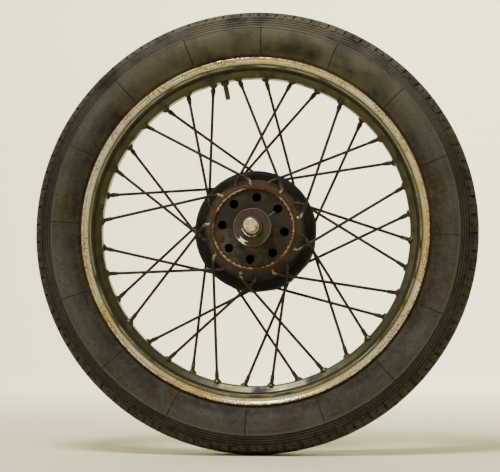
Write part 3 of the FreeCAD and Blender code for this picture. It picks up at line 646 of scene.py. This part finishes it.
# Painted light: the drum's top is painted lighter and browner in blotches.
painted_light_on_top = drum_iron.both(drum_iron.band("Angle", 15, 165, 30), drum_iron.band("Radius", 60, 95, 2))
drum_iron.layer(drum_iron.both(painted_light_on_top, drum_iron.stains(30, 0.35, 0.65, 4, 6)),
                (0.024, 0.021, 0.014), 0.8, strength=0.6)
swept = drum_iron.both(drum_iron.band("Radius", 74.2, 75.3, 0.2), drum_iron.band("Along", 8, 34, 0.6))
drum_iron.layer(swept, (0.42, 0.40, 0.38), 0.3, 1.0)
drum_iron.relief(drum_iron.grain(1.8, 4), 0.3)
drum_iron.relief(drum_iron.grain(8, 3, 2), 0.3)
drum_iron.give(nodes["brake_drum"])


# --- Spindle, collars, washer and nut ------------------------------------------------------
# Turned steel.  The spindle's ends are polished by handling and stained brown, and the nut and
# collars are dull, with their paint rubbed off at the corners.

spindle_steel = Finish("bare_spindle_steel", (0.80, 0.77, 0.71), 0.30, 0.8)
spindle_steel.layer(spindle_steel.stains(6, 0.47, 0.58, 5), (0.40, 0.28, 0.17), 0.5, 0.6, strength=0.85)
spindle_steel.layer(spindle_steel.stains(3, 0.62, 0.72, 5, 7), (0.10, 0.055, 0.025), 0.75, 0.3)
pit = spindle_steel.both(spindle_steel.band("Radius", 3.4, 5.6, 0.4), spindle_steel.band("Angle", 25, 52, 4))
spindle_steel.layer(pit, (0.035, 0.022, 0.014), 0.8, 0.2, strength=0.85)
spindle_steel.relief(spindle_steel.grain(1.2, 4), 0.1)
spindle_steel.give(nodes["spindle"])

collar_steel = Finish("chipped_collar", (0.060, 0.049, 0.040), 0.45, 0.6)
collar_steel.layer(collar_steel.stains(4, 0.46, 0.60, 5), (0.032, 0.021, 0.014), 0.7, 0.3)
collar_edge = collar_steel.both(collar_steel.band("Radius", 12.8, 15.5, 0.3),
                                collar_steel.band("Along", -66, -63.7, 0.3))
chipped = collar_steel.both(collar_edge, collar_steel.band("Angle", -185, -70, 15),
                            collar_steel.stains(2, 0.47, 0.56, 3, 4))
collar_steel.layer(chipped, (0.80, 0.77, 0.71), 0.28, 0.8)
collar_steel.relief(collar_steel.grain(1.5, 4), 0.12)
collar_steel.give(nodes["near_collar"])


def plain_steel(name, colour, rust, size):
    """Machined steel with a film of rust and oil."""
    steel = Finish(name, colour, 0.4, 0.85)
    steel.layer(steel.stains(size, 0.44, 0.62, 5), rust, 0.7, 0.35)
    steel.layer(steel.stains(size / 2, 0.58, 0.72, 4, 5), (0.30, 0.28, 0.25), 0.3, 1.0, strength=0.6)
    steel.relief(steel.grain(size / 5, 4), 0.12)
    return steel


plain_steel("dull_steel", (0.16, 0.145, 0.13), (0.075, 0.045, 0.025), 7).give(
    nodes["plate_washer"], nodes["axle_nut"], nodes["fulcrum_post"], nodes["fulcrum_nut"],
    nodes["anchor_stud"], nodes["cam_nut"], nodes["cam_lever"])
plain_steel("inner_steel", (0.30, 0.29, 0.28), (0.12, 0.085, 0.05), 9).give(
    nodes["bearing_spacer"], nodes["far_spacer"], nodes["far_bearing_retainer"], nodes["brake_cam"])


# --- Bearings and felt rings ---------------------------------------------------------------
# Two single-row ball bearings with pressed steel cages, packed with grease.  One is pressed into
# each side of the hub, with a felt ring next to it that keeps the dust out.

bearing_steel = Finish("ground_bearing_steel", (0.52, 0.52, 0.52), 0.18, 1.0)
bearing_steel.layer(bearing_steel.stains(6, 0.50, 0.70, 3), (0.30, 0.24, 0.14), 0.35)
bearing_steel.relief(bearing_steel.grain(0.8, 2), 0.02)
bearing_steel.give(*(nodes[side + part] for side in ("near_", "far_")
                     for part in ("inner_race", "outer_race", "balls")))
cage_steel = Finish("pressed_cage_steel", (0.36, 0.33, 0.28), 0.4, 0.9)
cage_steel.layer(cage_steel.stains(5, 0.45, 0.65, 4), (0.16, 0.11, 0.05), 0.6)
cage_steel.relief(cage_steel.grain(1, 3), 0.05)
cage_steel.give(nodes["near_ball_cage"], nodes["far_ball_cage"])
felt = Finish("greasy_felt", (0.060, 0.045, 0.030), 0.95)
felt.layer(felt.stains(3, 0.45, 0.60, 6), (0.13, 0.105, 0.075), 0.95)
felt.relief(felt.grain(0.7, 6), 0.4)
felt.give(nodes["near_felt_ring"], nodes["far_felt_ring"])


# --- Brake plate ---------------------------------------------------------------------------
# A die-cast aluminium cover, gone dull, that closes the drum.  It carries the fulcrum post, the
# cam's bronze bush and the stud of the torque arm.

plate_alloy = Finish("dull_cast_alloy", (0.22, 0.215, 0.20), 0.52, 0.85)
plate_alloy.layer(plate_alloy.stains(24, 0.42, 0.64, 5), (0.15, 0.14, 0.12), 0.66)
plate_alloy.layer(plate_alloy.stains(9, 0.55, 0.70, 6, 3), (0.095, 0.075, 0.050), 0.85, 0.2)
oily_middle = plate_alloy.both(plate_alloy.band("Radius", 9, 30, 3),
                               plate_alloy.stains(7, 0.35, 0.6, 5, 6))
plate_alloy.layer(oily_middle, (0.060, 0.045, 0.030), 0.6, 0.3, strength=0.8)
plate_alloy.relief(plate_alloy.grain(1.6, 5), 0.25)
plate_alloy.relief(plate_alloy.grain(14, 2, 4), 0.3)
plate_alloy.give(nodes["brake_plate"])
bronze = Finish("bush_bronze", (0.42, 0.27, 0.12), 0.35, 1.0)
bronze.layer(bronze.stains(5, 0.45, 0.65, 4), (0.16, 0.10, 0.05), 0.6)
bronze.relief(bronze.grain(1.2, 3), 0.06)
bronze.give(nodes["cam_bush"])


# --- Brake shoes, linings and return springs -----------------------------------------------
# T-section alloy castings with woven linings bonded on.  They turn on the fulcrum post, and two
# steel wire springs, hooked into their webs, draw them together.

shoe_alloy = Finish("cast_shoe_alloy", (0.34, 0.33, 0.31), 0.55, 0.85)
shoe_alloy.layer(shoe_alloy.stains(12, 0.45, 0.65, 5), (0.12, 0.09, 0.06), 0.75, 0.4)
shoe_alloy.relief(shoe_alloy.grain(1.5, 4), 0.25)
shoe_alloy.give(nodes["upper_shoe"], nodes["lower_shoe"])
lining = Finish("woven_lining", (0.095, 0.072, 0.050), 0.9)
lining.layer(lining.stains(1.4, 0.42, 0.58, 2), (0.17, 0.13, 0.085), 0.85)
lining.layer(lining.stains(10, 0.50, 0.70, 5, 3), (0.045, 0.038, 0.032), 0.7)
lining.relief(lining.grain(1.4, 3), 0.2)
lining.give(nodes["upper_lining"], nodes["lower_lining"])
plain_steel("spring_wire", (0.11, 0.10, 0.095), (0.08, 0.05, 0.03), 5).give(
    nodes["cam_side_spring"], nodes["fulcrum_side_spring"])


# --- Valve ---------------------------------------------------------------------------------
# A brass stem bonded to the tube and pulled up against the rim by a thin nut.  The core's pin
# is pressed to let air in or out.

valve_brass = Finish("tarnished_brass", (0.075, 0.058, 0.036), 0.42, 0.7)
valve_brass.layer(valve_brass.stains(3, 0.42, 0.60, 5), (0.070, 0.055, 0.035), 0.7, 0.4)
thread_pitch = 0.8
phase = maths(valve_brass.tree, "MULTIPLY", valve_brass.where("Radius"), 2 * math.pi / thread_pitch)
thread = maths(valve_brass.tree, "SINE", phase)
valve_brass.relief(ramp(valve_brass.tree, thread, -1.0, 1.0), 0.25)
valve_brass.relief(valve_brass.grain(1, 3), 0.08)
valve_brass.give(nodes["valve_stem"], nodes["valve_nut"], nodes["valve_core"], nodes["valve_pin"])


# --- Studio --------------------------------------------------------------------------------
# A level floor that curves up into a pale backdrop, far enough out to stay clear of every
# camera, with a soft overhead light, a softer one from the left, and even light all round.

tyre_foot = cad_box[0].z
bowl_radius = 6.5
bowl_height = 6.0
bowl_curve = 2.2
curve_steps = 8
bowl_steps = 96
flat_radius = bowl_radius - bowl_curve
bowl = bmesh.new()
bowl_outline = [(0.0, 0.0), (flat_radius, 0.0)]
for step in range(1, curve_steps + 1):
    lift = math.radians(90 * step / curve_steps)
    radius = flat_radius + bowl_curve * math.sin(lift)
    bowl_outline.append((radius, bowl_curve * (1 - math.cos(lift))))
bowl_outline.append((bowl_radius, bowl_height))
rail = [bowl.verts.new((radius, 0, tyre_foot + height)) for radius, height in bowl_outline]
for start, end in zip(rail, rail[1:]):
    bowl.edges.new((start, end))
bmesh.ops.spin(bowl, geom=bowl.verts[:] + bowl.edges[:], cent=CENTRE, axis=(0, 0, 1),
               angle=2 * math.pi, steps=bowl_steps, use_merge=True)
bmesh.ops.remove_doubles(bowl, verts=bowl.verts[:], dist=0.0001)
bmesh.ops.recalc_face_normals(bowl, faces=bowl.faces[:])
bmesh.ops.reverse_faces(bowl, faces=bowl.faces[:])
bowl_data = bpy.data.meshes.new("backdrop")
bowl.to_mesh(bowl_data)
bowl.free()
bowl_data.shade_smooth()
backdrop = bpy.data.objects.new("backdrop", bowl_data)
bpy.context.scene.collection.objects.link(backdrop)
paper = Finish("pale_paper", (0.87, 0.825, 0.61), 0.8)
paper.give(backdrop)

world = bpy.data.worlds.new("studio_air")
world.use_nodes = True
even_light = world.node_tree.nodes["Background"]
even_light.inputs["Color"].default_value = (1.0, 0.97, 0.90, 1)
even_light.inputs["Strength"].default_value = 0.22
bpy.context.scene.world = world


def soft_light(name, size, power, place, target, colour):
    """Square lamp that looks at a point."""
    data = bpy.data.lights.new(name, "AREA")
    data.size = size
    data.energy = power
    data.color = colour
    lamp = bpy.data.objects.new(name, data)
    lamp.location = place
    lamp.rotation_mode = "QUATERNION"
    lamp.rotation_quaternion = (Vector(target) - Vector(place)).to_track_quat("-Z", "Y")
    bpy.context.scene.collection.objects.link(lamp)


soft_light("overhead", 0.8, 88, (-0.4, -1.3, 2.3), (0, 0, 0), (1.0, 0.97, 0.91))
soft_light("left_fill", 1.2, 8, (-2.6, -1.6, 0.8), (0, 0, 0), (1.0, 0.98, 0.95))
soft_light("backdrop_wash", 3.0, 600, (0.6, 2.2, 3.4), (0.8, 6.2, 1.2), (1.0, 0.97, 0.88))

camera_azimuth = math.radians(4.4)
camera_height = math.radians(-5.1)
camera_distance = 1.8
lens = bpy.data.cameras.new("camera")
lens.sensor_width = 36
lens.lens = 87.4
camera = bpy.data.objects.new("camera", lens)
aim = Vector((-0.0076, 0, -0.0078))
back = Vector((math.sin(camera_azimuth) * math.cos(camera_height),
               -math.cos(camera_azimuth) * math.cos(camera_height), math.sin(camera_height)))
camera.location = aim + back * camera_distance
camera.rotation_mode = "QUATERNION"
camera.rotation_quaternion = (-back).to_track_quat("-Z", "Y")
bpy.context.scene.collection.objects.link(camera)
bpy.context.scene.camera = camera
